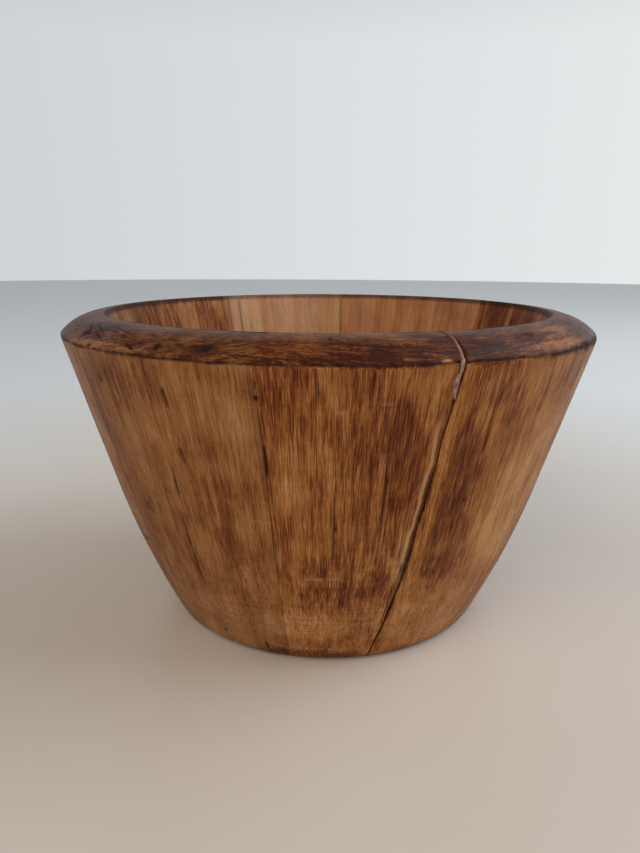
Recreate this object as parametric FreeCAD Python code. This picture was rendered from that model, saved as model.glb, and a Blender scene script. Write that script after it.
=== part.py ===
"""A staved wooden bowl: eight tapered staves glued edge to edge round a bottom disc, then turned as one.

Millimetres. +Z is up, the origin is the centre of the foot, on the surface that the bowl stands on, and -Y is the
front. An azimuth is in degrees from the front, growing towards +X, so that +X is at 90.

The wall leans outwards: straight in its upper part, bent inwards on a long arc below. The rim is one arc, from a
sharp outer arris up to the crest, where it's level. Inside, a cove joins the wall to the floor. The bottom disc lies
on a ledge that is cut in the staves, above the ring that the bowl stands on.
All the joints between staves are radial and upright, except the front right one, which was sawn out of square. That
joint has opened along its outer edge, and its top was filled.
"""

import FreeCAD, Part  # noqa: E401  FreeCAD has to be imported before Part
import math
import os

V = FreeCAD.Vector
UP = V(0, 0, 1)
ORIGIN = V(0, 0, 0)
FULL_TURN = 360.0
QUARTER_TURN = 90.0

# --- driving dimensions -------------------------------------------------------------------------------------------
ARRIS_RADIUS = 125.0  # the widest point, where the wall meets the rim
ARRIS_HEIGHT = 138.0
RIM_HEIGHT = 147.0  # the crest of the rim
WALL_THICKNESS = 22.5  # square to the wall
WALL_LEAN = 16.5  # degrees from upright, in the straight upper part
BEND_HEIGHT = 68.0  # where the straight part of the outer wall ends
BEND_RADIUS = 380.0  # of the arc from there down to the foot
FOOT_BEVEL_WIDTH = 2.0  # at the foot's outer edge
FOOT_BEVEL_HEIGHT = 3.0
INNER_EDGE_RADIUS = 2.0  # where the rim turns down into the bowl
FLOOR_HEIGHT = 20.0
COVE_RADIUS = 18.0  # between the floor and the wall, inside

DISC_RADIUS = 58.0
LEDGE_HEIGHT = 5.0  # the disc's underside, above the ground
LEDGE_WIDTH = 6.0

# The staves with the azimuths of the joints on either side, for the joints that are radial.
STAVES = {
    "stave_right": (73.0, 123.5),
    "stave_back_right": (123.5, 176.0),
    "stave_back": (176.0, 216.7),
    "stave_back_left": (216.7, 256.5),
    "stave_left": (256.5, 308.5),
    "stave_front_left": (308.5, 349.6),
}

# The open joint, between these two staves. Its plane holds the radius at one azimuth and height, and is tilted
# about that radius.
OPEN_JOINT_AZIMUTH = 19.0
OPEN_JOINT_HEIGHT = 60.6
OPEN_JOINT_TILT = 5.3  # degrees; its top leans towards larger azimuths
OPEN_GAP_WIDTH = 2.4  # at the surface, level with the arris
GAP_END_RADIUS = 107.5  # the gap's innermost line, at the height of the crest
GAP_END_DEPTH = 4.5  # of the same line behind the surface, at the ground
FILLER_REACH = 17.0  # how far below the arris the filler goes
FILLER_SLOPE = 35.0  # degrees from level, of the filler's lower end
FILLER_PROUD = 0.6  # how far it stands out at the arris

REACH = 400.0  # larger than the bowl, for cutting tools
SPARE_ANGLE = 15.0  # of stave, before it is cut at the open joint


def profile_point(radius, height):
    """A point of the cross-section, which is drawn in the XZ plane."""
    return V(radius, 0, height)


def on_circle(centre, radius, height):
    """The point at a height on the outward side of a circle in the cross-section."""
    return profile_point(centre.x + math.sqrt(radius**2 - (height - centre.z) ** 2), height)


def inward_normal():
    """The direction square to the straight part of the wall, from the outside to the inside."""
    lean = math.radians(WALL_LEAN)
    return V(-math.cos(lean), 0, math.sin(lean))


def outer_bend():
    """Where the straight part of the outer wall meets the arc."""
    drop = ARRIS_HEIGHT - BEND_HEIGHT
    return profile_point(ARRIS_RADIUS - drop * math.tan(math.radians(WALL_LEAN)), BEND_HEIGHT)


def bend_centre():
    """The centre of the wall's arcs, inside and outside."""
    return outer_bend() + inward_normal() * BEND_RADIUS


def line(start, end):
    return Part.LineSegment(start, end).toShape()


def arc(start, middle, end):
    return Part.Arc(start, middle, end).toShape()


def outside_edges():
    """From the inner corner of the standing ring, round the outside, to the arris."""
    centre = bend_centre()
    ring_corner = profile_point(DISC_RADIUS - LEDGE_WIDTH, 0)
    ground = profile_point(on_circle(centre, BEND_RADIUS, 0).x - FOOT_BEVEL_WIDTH, 0)
    bevel = on_circle(centre, BEND_RADIUS, FOOT_BEVEL_HEIGHT)
    bend = outer_bend()
    middle = on_circle(centre, BEND_RADIUS, (bevel.z + bend.z) / 2)
    arris = profile_point(ARRIS_RADIUS, ARRIS_HEIGHT)
    return [line(ring_corner, ground), line(ground, bevel), arc(bevel, middle, bend), line(bend, arris)]


def inner_edge_centre():
    """The centre of the round between the rim and the inner wall."""
    inner_bend = outer_bend() + inward_normal() * WALL_THICKNESS
    height = RIM_HEIGHT - INNER_EDGE_RADIUS
    lean = math.radians(WALL_LEAN)
    wall_radius = inner_bend.x + (height - inner_bend.z) * math.tan(lean)
    return profile_point(wall_radius + INNER_EDGE_RADIUS / math.cos(lean), height)


def rim_edges():
    """From the arris over the crest to the top of the inner wall."""
    edge_centre = inner_edge_centre()
    crest = edge_centre + UP * INNER_EDGE_RADIUS
    touch = edge_centre + inward_normal() * INNER_EDGE_RADIUS
    edge_middle = edge_centre + (inward_normal() + UP).normalize() * INNER_EDGE_RADIUS

    # The rim's arc is level at the crest, so that its centre is straight below.
    arris = profile_point(ARRIS_RADIUS, ARRIS_HEIGHT)
    across = ARRIS_RADIUS - crest.x
    rise = RIM_HEIGHT - ARRIS_HEIGHT
    rim_centre = crest - UP * ((across**2 + rise**2) / (2 * rise))
    rim_middle = on_circle(rim_centre, crest.z - rim_centre.z, ARRIS_HEIGHT + rise / 2)
    return [arc(arris, rim_middle, crest), arc(crest, edge_middle, touch)]


def cove_points():
    """The cove's ends, on the wall and on the floor, and its centre."""
    centre = bend_centre()
    inner_radius = BEND_RADIUS - WALL_THICKNESS
    cove_centre = on_circle(centre, inner_radius - COVE_RADIUS, FLOOR_HEIGHT + COVE_RADIUS)
    wall_end = cove_centre + (cove_centre - centre).normalize() * COVE_RADIUS
    floor_end = cove_centre - UP * COVE_RADIUS
    return wall_end, floor_end, cove_centre


def on_cove(radius):
    """The cove's surface at a radius."""
    _, _, centre = cove_points()
    return profile_point(radius, centre.z - math.sqrt(COVE_RADIUS**2 - (radius - centre.x) ** 2))


def inside_edges():
    """From the top of the inner wall down to the disc's edge, and over the ledge to the standing ring's corner."""
    centre = bend_centre()
    inner_radius = BEND_RADIUS - WALL_THICKNESS
    top = inner_edge_centre() + inward_normal() * INNER_EDGE_RADIUS
    bend = outer_bend() + inward_normal() * WALL_THICKNESS
    wall_end, _, _ = cove_points()
    wall_middle = on_circle(centre, inner_radius, (bend.z + wall_end.z) / 2)
    disc_edge = on_cove(DISC_RADIUS)
    cove_middle = on_cove((wall_end.x + disc_edge.x) / 2)
    ledge = profile_point(DISC_RADIUS, LEDGE_HEIGHT)
    ledge_corner = profile_point(DISC_RADIUS - LEDGE_WIDTH, LEDGE_HEIGHT)
    ring_corner = profile_point(DISC_RADIUS - LEDGE_WIDTH, 0)
    return [
        line(top, bend),
        arc(bend, wall_middle, wall_end),
        arc(wall_end, cove_middle, disc_edge),
        line(disc_edge, ledge),
        line(ledge, ledge_corner),
        line(ledge_corner, ring_corner),
    ]


def stave_face():
    """A stave's cross-section."""
    return Part.Face(Part.Wire(outside_edges() + rim_edges() + inside_edges()))


def stave(start, end):
    """A stave between two azimuths, with radial sides."""
    face = stave_face()
    face.rotate(ORIGIN, UP, start - QUARTER_TURN)
    return face.revolve(ORIGIN, UP, end - start)


def base_disc():
    """The bottom disc, turned flush with the cove at its upper edge."""
    _, floor_end, _ = cove_points()
    edge_top = on_cove(DISC_RADIUS)
    under = profile_point(0, LEDGE_HEIGHT)
    under_edge = profile_point(DISC_RADIUS, LEDGE_HEIGHT)
    floor_middle = profile_point(0, FLOOR_HEIGHT)
    edges = [
        line(under, under_edge),
        line(under_edge, edge_top),
        arc(edge_top, on_cove((edge_top.x + floor_end.x) / 2), floor_end),
        line(floor_end, floor_middle),
        line(floor_middle, under),
    ]
    return Part.Face(Part.Wire(edges)).revolve(ORIGIN, UP, FULL_TURN)


def open_joint_point(radius, height):
    """A point in the open joint's plane, at a distance from the axis along the plane's level direction."""
    azimuth = math.radians(OPEN_JOINT_AZIMUTH)
    outwards = V(math.sin(azimuth), -math.cos(azimuth), 0)
    sideways = V(math.cos(azimuth), math.sin(azimuth), 0)
    shift = (height - OPEN_JOINT_HEIGHT) * math.tan(math.radians(OPEN_JOINT_TILT))
    return outwards * radius + sideways * shift + UP * height


def open_joint_normal():
    """Square to the open joint's plane, towards larger azimuths."""
    level = open_joint_point(1, 0) - open_joint_point(0, 0)
    rising = open_joint_point(0, 1) - open_joint_point(0, 0)
    return rising.cross(level).normalize()


def beyond_open_joint(sense):
    """Everything on one side of the open joint's plane: of larger azimuths for a sense of 1, of smaller for -1."""
    corners = [
        open_joint_point(-REACH, -REACH),
        open_joint_point(REACH, -REACH),
        open_joint_point(REACH, REACH),
        open_joint_point(-REACH, REACH),
    ]
    plane = Part.Face(Part.makePolygon(corners + corners[:1]))
    return plane.extrude(open_joint_normal() * (REACH * sense))


def open_gap():
    """The wedge that has opened in the joint, reaching out past the surface."""
    foot_radius = on_circle(bend_centre(), BEND_RADIUS, 0).x - GAP_END_DEPTH
    top = open_joint_point(GAP_END_RADIUS, RIM_HEIGHT)
    foot = open_joint_point(foot_radius, 0)
    along = (top - foot).normalize()
    normal = open_joint_normal()
    outwards = along.cross(normal)
    if outwards.dot(open_joint_point(1, 0) - open_joint_point(0, 0)) < 0:
        outwards = outwards * -1

    at_arris = open_joint_point(ARRIS_RADIUS, ARRIS_HEIGHT) - foot
    depth = at_arris.dot(outwards)
    half_width = OPEN_GAP_WIDTH / 2 * REACH / depth
    start = foot - along * REACH
    corners = [
        start,
        start + outwards * REACH + normal * half_width,
        start + outwards * REACH - normal * half_width,
    ]
    return Part.Face(Part.makePolygon(corners + corners[:1])).extrude(along * (REACH * 3))


def filler():
    """Filler in the top of the open joint, a little proud of the wood. Its lower end slopes up into the joint."""
    grown = stave(OPEN_JOINT_AZIMUTH - SPARE_ANGLE, OPEN_JOINT_AZIMUTH + SPARE_ANGLE)
    grown.scale((ARRIS_RADIUS + FILLER_PROUD) / ARRIS_RADIUS, V(0, 0, ARRIS_HEIGHT))

    height = ARRIS_HEIGHT - FILLER_REACH
    slope = math.radians(FILLER_SLOPE)
    outer_radius = ARRIS_RADIUS - FILLER_REACH * math.tan(math.radians(WALL_LEAN))
    low = open_joint_point(outer_radius + REACH * math.cos(slope), height - REACH * math.sin(slope))
    high = open_joint_point(outer_radius - REACH * math.cos(slope), height + REACH * math.sin(slope))
    normal = open_joint_normal()
    corners = [low - normal * REACH, high - normal * REACH, high + normal * REACH, low + normal * REACH]
    down = normal.cross(high - low).normalize()
    if down.z > 0:
        down = down * -1
    below = Part.Face(Part.makePolygon(corners + corners[:1])).extrude(down * REACH)
    return open_gap().common(grown).cut(below)


def front_staves():
    """The two staves on either side of the open joint."""
    gap = open_gap()
    left_joint = STAVES["stave_front_left"][1] - FULL_TURN
    right_joint = STAVES["stave_right"][0]
    front = stave(left_joint, OPEN_JOINT_AZIMUTH + SPARE_ANGLE)
    front_right = stave(OPEN_JOINT_AZIMUTH - SPARE_ANGLE, right_joint)
    return {
        "stave_front": front.cut(beyond_open_joint(1)).cut(gap),
        "stave_front_right": front_right.cut(beyond_open_joint(-1)).cut(gap),
    }


def main():
    pieces = {name: stave(start, end) for name, (start, end) in STAVES.items()}
    pieces.update(front_staves())
    pieces["base_disc"] = base_disc()
    pieces["crack_filler"] = filler()
    os.makedirs("parts", exist_ok=True)
    for name, shape in pieces.items():
        assert len(shape.Solids) == 1 and shape.isValid(), name
        solid = shape.Solids[0]
        solid.exportStep(os.path.join("parts", name + ".step"))
        print(name, round(solid.Volume), solid.BoundBox)


main()
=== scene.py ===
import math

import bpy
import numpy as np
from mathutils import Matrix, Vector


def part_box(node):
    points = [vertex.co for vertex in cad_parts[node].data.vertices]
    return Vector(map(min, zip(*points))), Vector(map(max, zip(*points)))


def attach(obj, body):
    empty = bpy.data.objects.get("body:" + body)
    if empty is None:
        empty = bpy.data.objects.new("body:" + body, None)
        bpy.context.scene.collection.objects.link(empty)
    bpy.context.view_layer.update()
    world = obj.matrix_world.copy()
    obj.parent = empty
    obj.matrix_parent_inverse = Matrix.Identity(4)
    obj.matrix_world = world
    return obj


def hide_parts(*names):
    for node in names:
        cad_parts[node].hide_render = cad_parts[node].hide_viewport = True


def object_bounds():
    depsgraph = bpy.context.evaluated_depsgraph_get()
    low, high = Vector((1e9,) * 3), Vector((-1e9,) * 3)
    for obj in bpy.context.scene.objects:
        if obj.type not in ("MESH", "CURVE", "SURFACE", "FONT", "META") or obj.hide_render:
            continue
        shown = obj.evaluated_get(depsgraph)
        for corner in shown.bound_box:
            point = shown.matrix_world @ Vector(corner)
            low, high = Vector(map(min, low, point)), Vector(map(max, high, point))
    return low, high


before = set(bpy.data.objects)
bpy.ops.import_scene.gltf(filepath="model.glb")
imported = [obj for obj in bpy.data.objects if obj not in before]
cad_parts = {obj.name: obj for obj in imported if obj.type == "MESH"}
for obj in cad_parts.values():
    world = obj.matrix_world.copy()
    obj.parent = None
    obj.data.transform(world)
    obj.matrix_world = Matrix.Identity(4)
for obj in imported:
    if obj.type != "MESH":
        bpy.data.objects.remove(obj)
START_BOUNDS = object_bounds()

# The looks of the staved bowl. Each stave of the frame is replaced with a closed mesh of the same shape
# that also has the wear of the real one: splits, knots, chips, an uneven rim and an open joint. The bottom
# disc and the filler are replaced in the same way.
#
# Lengths are in millimetres until a mesh is made. +Z is up and -Y is the front. An azimuth is in degrees
# from the front, growing towards +X. A place is a distance along the outline of the outside: negative
# below the arris, which is the sharp edge between wall and rim, and positive on the rim.

MM = 0.001

# --- shape, as in the frame ---
ARRIS_RADIUS = (START_BOUNDS[1].x - START_BOUNDS[0].x) / 2 / MM
RIM_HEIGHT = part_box("stave_left")[1].z / MM
DISC_RADIUS = (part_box("base_disc")[1].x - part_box("base_disc")[0].x) / 2 / MM
LEDGE_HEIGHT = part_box("base_disc")[0].z / MM
ARRIS_HEIGHT = 138.0
WALL_THICKNESS = 22.5
WALL_LEAN = math.radians(16.5)
BEND_HEIGHT = 68.0
BEND_RADIUS = 380.0
FOOT_BEVEL = (2.0, 3.0)
INNER_EDGE_RADIUS = 2.0
FLOOR_HEIGHT = 20.0
COVE_RADIUS = 18.0
LEDGE_WIDTH = 6.0

# The staves in order, each with the azimuth of the joint where it starts. None is the open joint.
STAVES = [
    ("stave_front", -10.4),
    ("stave_front_right", None),
    ("stave_right", 73.0),
    ("stave_back_right", 123.5),
    ("stave_back", 176.0),
    ("stave_back_left", 216.7),
    ("stave_left", 256.5),
    ("stave_front_left", 308.5),
]
OPEN_JOINT_AZIMUTH = 19.0
OPEN_JOINT_HEIGHT = 60.6
OPEN_JOINT_SLOPE = math.tan(math.radians(5.3))

# --- how finely the meshes are divided ---
ROW_SPACING = 0.65
RIM_SPACING = 0.6
ARRIS_SPACING = 0.3
UNDER_SPACING = 3.0
LEDGE_SPACING = 6.0
DISC_EDGE_SPACING = 9.0
COVE_SPACING = 1.2
INNER_EDGE_SPACING = 0.45
WEAR_STEPS = 4

# The staves that face the camera have closer columns of vertices, and fine ones along their splits. The
# front stave also has fine ones at two distances from the open joint, across the dirt.
SEEN_STAVES = ("stave_front", "stave_front_right", "stave_front_left")
COLUMN_SPACING = 1.0
PLAIN_COLUMN_SPACING = 1.6
FINE_SPACING = 0.16
SPACING_GROWTH = 0.25
DIRT_COLUMNS = (1.6, 3.2)
WIDTH_SAMPLES = 6001
SHARP_ANGLE = math.radians(38)

# --- wear ---
# The arris is rounded over this width on both sides, and finely divided over four times the width.
ARRIS_WEAR = 0.9
FINE_STRETCH = 4 * ARRIS_WEAR
WORN_REACH = 2.2
CHIP_REACH = 1.4
CHIP_DEPTH = 0.7
CREST_DROP = 0.8
LOWEST_AZIMUTH = -30

# --- the open joint's looks ---
# Most of the gap is stopped with old dirt and glue, on its left. What is still open is a groove on its
# right. Each table has heights with a value: the groove's width there, how far right of the joint it is,
# and the width of the dirt.
GROOVE_WIDTHS = [
    (0, 0.4), (15, 0.45), (32, 0.5), (44, 0.55), (60, 0.65), (88, 0.6), (97, 0.45), (103, 0.25),
    (121, 0.25), (125, 0.9), (138, 0.9), (147, 0.5),
]
GROOVE_OFFSETS = [
    (0, -0.4), (14, 0.2), (26, 0.8), (45, 1.1), (95, 1.1), (112, 0.5), (124, 0.8), (138, 0.75), (147, 0.4),
]
DIRT_WIDTHS = [
    (0, 0.2), (16, 0.4), (24, 0.8), (45, 1.3), (70, 1.6), (95, 1.4), (104, 1.5), (114, 1.6), (123, 1.5),
    (127, 0.8), (147, 0.6),
]
GROOVE_DEPTH = 1.2
GROOVE_LAYERS = [0.2, 0.4, 0.65, 0.9, 1.2, 9.0]
LAYER_INSET = 0.2
LIP_WIDTHS = {"stave_front": 1.0, "stave_front_right": 0.6}
LIP_DEPTH = 0.35
DIRT_DEPTH = 0.3
PALE_BAND = 2.6


# --- outlines ---
def straight(start, end, spacing):
    """Points from start towards end, which is left out."""
    start, end = np.array(start), np.array(end)
    count = max(1, round(float(np.linalg.norm(end - start)) / spacing))
    return start + (end - start) * np.arange(count)[:, None] / count


def on_arc(centre, radius, angle):
    """The point on an arc at an angle from the outward direction, in radians."""
    return centre + radius * np.array([math.cos(angle), math.sin(angle)])


def curved(centre, radius, start, end, spacing):
    """Points on an arc between two angles from the outward direction, in radians, leaving out the end."""
    count = max(2, round(abs(end - start) * radius / spacing))
    angles = start + (end - start) * np.arange(count) / count
    return centre + radius * np.stack([np.cos(angles), np.sin(angles)], -1)


def height_angle(centre, radius, height):
    """The angle on an arc at a height."""
    return math.asin((height - centre[1]) / radius)


WALL_NORMAL = np.array([math.cos(WALL_LEAN), -math.sin(WALL_LEAN)])
WALL_UP = np.array([math.sin(WALL_LEAN), math.cos(WALL_LEAN)])
ARRIS = np.array([ARRIS_RADIUS, ARRIS_HEIGHT])
BEND = ARRIS - WALL_UP * (ARRIS_HEIGHT - BEND_HEIGHT) / math.cos(WALL_LEAN)
BEND_CENTRE = BEND - WALL_NORMAL * BEND_RADIUS
INNER_BEND = BEND - WALL_NORMAL * WALL_THICKNESS
INNER_ARC_RADIUS = BEND_RADIUS - WALL_THICKNESS

_edge_height = RIM_HEIGHT - INNER_EDGE_RADIUS
_edge_wall = INNER_BEND[0] + (_edge_height - INNER_BEND[1]) * math.tan(WALL_LEAN)
EDGE_CENTRE = np.array([_edge_wall + INNER_EDGE_RADIUS / math.cos(WALL_LEAN), _edge_height])
CREST = EDGE_CENTRE + [0, INNER_EDGE_RADIUS]
RIM_ACROSS, RIM_RISE = ARRIS - CREST
RIM_RADIUS = (RIM_ACROSS**2 + RIM_RISE**2) / (2 * abs(RIM_RISE))
RIM_CENTRE = CREST - [0, RIM_RADIUS]
RIM_START = height_angle(RIM_CENTRE, RIM_RADIUS, ARRIS_HEIGHT)
RIM_LENGTH = (math.pi / 2 - RIM_START) * RIM_RADIUS

_cove_arc_radius = INNER_ARC_RADIUS - COVE_RADIUS
_cove_start = height_angle(BEND_CENTRE, _cove_arc_radius, FLOOR_HEIGHT + COVE_RADIUS)
COVE_CENTRE = on_arc(BEND_CENTRE, _cove_arc_radius, _cove_start)
DISC_EDGE_ANGLE = -math.acos((DISC_RADIUS - COVE_CENTRE[0]) / COVE_RADIUS)
COVE_EDGE = on_arc(COVE_CENTRE, COVE_RADIUS, DISC_EDGE_ANGLE)


def outside():
    """The outline from the foot's outer corner up the wall and over the rim to the crest."""
    foot_angle = height_angle(BEND_CENTRE, BEND_RADIUS, 0)
    ground = np.array([on_arc(BEND_CENTRE, BEND_RADIUS, foot_angle)[0] - FOOT_BEVEL[0], 0.0])
    bevel_angle = height_angle(BEND_CENTRE, BEND_RADIUS, FOOT_BEVEL[1])
    bevel = on_arc(BEND_CENTRE, BEND_RADIUS, bevel_angle)
    fine_start = ARRIS - WALL_UP * FINE_STRETCH
    wear_start = ARRIS - WALL_UP * ARRIS_WEAR
    wear_angle = RIM_START + ARRIS_WEAR / RIM_RADIUS
    wear_end = on_arc(RIM_CENTRE, RIM_RADIUS, wear_angle)
    fine_angle = RIM_START + FINE_STRETCH / RIM_RADIUS
    t = np.arange(WEAR_STEPS)[:, None] / WEAR_STEPS
    worn = wear_start * (1 - t) ** 2 + ARRIS * 2 * t * (1 - t) + wear_end * t**2
    return np.concatenate([
        straight(ground, bevel, ROW_SPACING),
        curved(BEND_CENTRE, BEND_RADIUS, bevel_angle, -WALL_LEAN, ROW_SPACING),
        straight(BEND, fine_start, ROW_SPACING),
        straight(fine_start, wear_start, ARRIS_SPACING),
        worn,
        curved(RIM_CENTRE, RIM_RADIUS, wear_angle, fine_angle, ARRIS_SPACING),
        curved(RIM_CENTRE, RIM_RADIUS, fine_angle, math.pi / 2, RIM_SPACING),
        CREST[None],
    ])


def inside(ground, count):
    """The outline from the foot's outer corner under the foot and up the inside, with a count of points.
    It stops short of the crest."""
    ring = DISC_RADIUS - LEDGE_WIDTH
    cove_end = math.atan2(*(COVE_CENTRE - BEND_CENTRE)[::-1])
    lower = np.concatenate([
        straight(ground, (ring, 0), UNDER_SPACING)[1:],
        straight((ring, 0), (ring, LEDGE_HEIGHT), UNDER_SPACING),
        straight((ring, LEDGE_HEIGHT), (DISC_RADIUS, LEDGE_HEIGHT), LEDGE_SPACING),
        straight((DISC_RADIUS, LEDGE_HEIGHT), COVE_EDGE, DISC_EDGE_SPACING),
        curved(COVE_CENTRE, COVE_RADIUS, DISC_EDGE_ANGLE, cove_end, COVE_SPACING),
    ])
    upper_start = math.pi - WALL_LEAN
    upper = curved(EDGE_CENTRE, INNER_EDGE_RADIUS, upper_start, math.pi / 2, INNER_EDGE_SPACING)
    top = on_arc(EDGE_CENTRE, INNER_EDGE_RADIUS, upper_start)
    arc = (-WALL_LEAN - cove_end) * INNER_ARC_RADIUS
    total = arc + float(np.linalg.norm(top - INNER_BEND))
    spacing = total / (count - len(lower) - len(upper))
    middle = np.concatenate([
        curved(BEND_CENTRE, INNER_ARC_RADIUS, cove_end, -WALL_LEAN, spacing),
        straight(INNER_BEND, top, spacing),
    ])
    short = count - len(lower) - len(upper) - len(middle)
    assert short == 0, short
    return np.concatenate([lower, middle, upper])


def normals(outline):
    """The outward direction at each point of the outside."""
    along = np.gradient(outline, axis=0)
    along /= np.linalg.norm(along, axis=1)[:, None]
    return np.stack([along[:, 1], -along[:, 0]], -1)


# Row by row: the two outlines, the outward directions, and how far each row is along from the arris.
OUTSIDE = outside()
INSIDE = inside(OUTSIDE[0], len(OUTSIDE))
NORMALS = normals(OUTSIDE)
ROWS = len(OUTSIDE)
ARRIS_ROW = int(np.argmax(OUTSIDE[:, 0]))
_steps = np.concatenate([[0], np.cumsum(np.linalg.norm(np.diff(OUTSIDE, axis=0), axis=1))])
ALONG = _steps - _steps[ARRIS_ROW]


# --- noise and easing ---
# The factor before a noise is its strength. What its coordinates are divided by is the size of its bumps.
NOISE_WAVES = 10


def noise(seed, *coordinates):
    """Smooth noise of about -1 to 1, with bumps about 3 units of the coordinates wide."""
    random = np.random.default_rng(seed)
    total = 0.0
    for _ in range(NOISE_WAVES):
        direction = random.normal(size=len(coordinates))
        phase = random.uniform(0, 2 * math.pi)
        total = total + np.sin(sum(d * c for d, c in zip(direction, coordinates)) + phase)
    return total / math.sqrt(NOISE_WAVES)


def smooth(low, high, value):
    """0 below low and 1 above high, rising evenly between them. Falls instead if high is smaller."""
    t = np.clip((value - low) / (high - low), 0, 1)
    return t * t * (3 - 2 * t)


def bell(distance, half_width):
    """1 at no distance, falling off evenly over about the half width."""
    return np.exp(-((distance / half_width) ** 2))


def signed_azimuth(azimuth):
    """The same azimuth between -180 and 180 degrees."""
    return (azimuth + 180) % 360 - 180


def below(height):
    """The place along the outline of a height on the wall."""
    wall = slice(ARRIS_ROW + 1)
    return float(np.interp(height, OUTSIDE[wall, 1], ALONG[wall]))


def stretch(place, start, full, fading, end):
    """1 on the wall from the height full to fading, easing off to 0 at the heights start and end."""
    return smooth(below(start), below(full), place) * smooth(below(end), below(fading), place)


def crest_drop(azimuth):
    """How much lower the hand-cut crest is: most at the front left, and nothing on the side opposite."""
    return CREST_DROP * np.clip(0.5 + 0.5 * np.cos(np.radians(azimuth - LOWEST_AZIMUTH)), 0, 1)


# --- the open joint ---
def at_height(table, height):
    """The value that a table of heights with values has at a height."""
    heights, values = zip(*table)
    return np.interp(height, heights, values)


def groove_half_width(height, depth):
    """Half the groove's width at a height and at a depth behind the surface."""
    width = at_height(GROOVE_WIDTHS, height)
    width = width * (1 + 0.22 * noise(31, height / 1.6) + 0.14 * noise(32, height / 0.5))
    return width / 2 * np.clip(1 - (depth / GROOVE_DEPTH) ** 1.4, 0, 1)


def open_joint_azimuth(radius, height, depth, side):
    """Where the open joint's face is. The side is -1 on the left of the groove and 1 on its right."""
    wander = 0.16 * noise(33, height / 5) + 0.08 * noise(34, height / 1.3)
    wander = wander + at_height(GROOVE_OFFSETS, height)
    lean = (height - OPEN_JOINT_HEIGHT) * OPEN_JOINT_SLOPE
    offset = lean + wander + side * groove_half_width(height, depth)
    return OPEN_JOINT_AZIMUTH + np.degrees(np.arcsin(offset / radius))


def joint_azimuth(joint, outline, depth, side):
    """The azimuth of a stave's edge at each point of an outline."""
    if joint is None:
        return open_joint_azimuth(outline[:, 0], outline[:, 1], depth, side)
    return np.full(len(outline), joint)


# --- marks ---
# Splits along the grain: azimuth and place of the top and of the bottom, width, depth.
SPLITS = [
    (-28.2, below(127.5), -27.8, below(118.5), 1.2, 1.0),
    (-27.7, below(116), -27.3, below(104), 0.5, 0.4),
    (-27.6, below(104), -27.4, below(95), 1.15, 1.0),
    (-31.1, below(97), -31.5, below(79), 0.95, 1.0),
    (-32.0, below(75), -32.5, below(36), 0.8, 0.8),
    (-10.25, below(110), -10.2, below(93), 1.25, 1.0),
    (-10.4, below(136), -10.4, below(52), 0.35, 0.35),
    (2.5, below(104), 2.1, below(48), 0.5, 0.35),
    (-21.2, below(75), -21.2, below(72), 0.5, 0.4),
    (-18.6, below(46), -18.6, below(44), 0.7, 0.4),
    (11.6, below(98), 12.0, below(86), 0.5, 0.4),
    (-18.6, 7.5, -12.3, 1.5, 0.5, 0.5),
    (17.1, below(49), 16.1, below(17), 0.6, 0.6),
    (18.9, below(44), 17.0, below(24), 0.55, 0.6),
    (18.2, below(58), 17.3, below(38), 0.5, 0.4),
    (-58.5, below(46), -53, below(48.5), 1.8, 0.5),
    (17.4, below(60), 17.2, below(52), 0.3, 0.3),
    (-61, 10, -56, 4.5, 0.35, 0.2),
    (-57, 14, -47, 5.5, 0.45, 0.25),
    (-52, 13.5, -43, 7, 0.4, 0.25),
    (-49, 9, -42, 4, 0.5, 0.35),
    (-45, 14.5, -33, 7.5, 0.45, 0.3),
    (-40, 10, -31, 5, 0.5, 0.35),
    (-33, 12, -27, 8, 0.4, 0.3),
    (-8, 9, 3, 5.5, 0.3, 0.2),
    (3, 10.5, 12, 7, 0.35, 0.25),
    (-16, 4, -4, 2.4, 0.6, 0.45),
]

# Knots and specks: azimuth, place, half width and half height in millimetres, strength.
KNOTS = [
    (-10.7, below(126), 1.2, 1.5, 1.0),
    (-56.0, below(47), 2.4, 0.9, 0.9),
    (54.0, 0.5, 24.0, 1.7, 0.95),
    (-10.6, below(131), 0.5, 2.0, 0.5),
    (-17.5, below(7.5), 0.9, 2.4, 1.0),
    (-32.0, below(10), 0.9, 1.1, 0.8),
    (30.0, below(82), 1.1, 2.0, 0.7),
    (2.8, below(74), 0.6, 2.4, 0.6),
    (-45.0, below(126), 2.2, 2.2, 0.45),
    (-44.5, below(71), 3.0, 2.4, 0.35),
    (-19.2, 6.2, 3.6, 2.4, 1.0),
    (-34.6, 3.6, 2.8, 1.5, 1.0),
    (-28.6, 4.8, 2.2, 2.0, 1.0),
    (-24.0, 6.5, 2.0, 1.2, 0.7),
    (-26.0, 9.0, 2.2, 1.0, 0.5),
    (-50.5, 6.5, 3.0, 1.8, 0.8),
    (-46.0, 1.5, 1.6, 0.8, 0.8),
    (-15.0, 11.0, 0.9, 1.2, 0.7),
    (-38.0, 8.0, 2.4, 1.0, 0.6),
    (-42.0, 10.0, 3.0, 1.2, 0.5),
    (1.2, 14.0, 0.7, 2.6, 0.8),
    (-5.0, 4.0, 1.5, 0.6, 0.5),
    (40.0, 11.5, 3.4, 2.6, 0.6),
    (17.5, below(31), 1.1, 1.9, 0.45),
]

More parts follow.
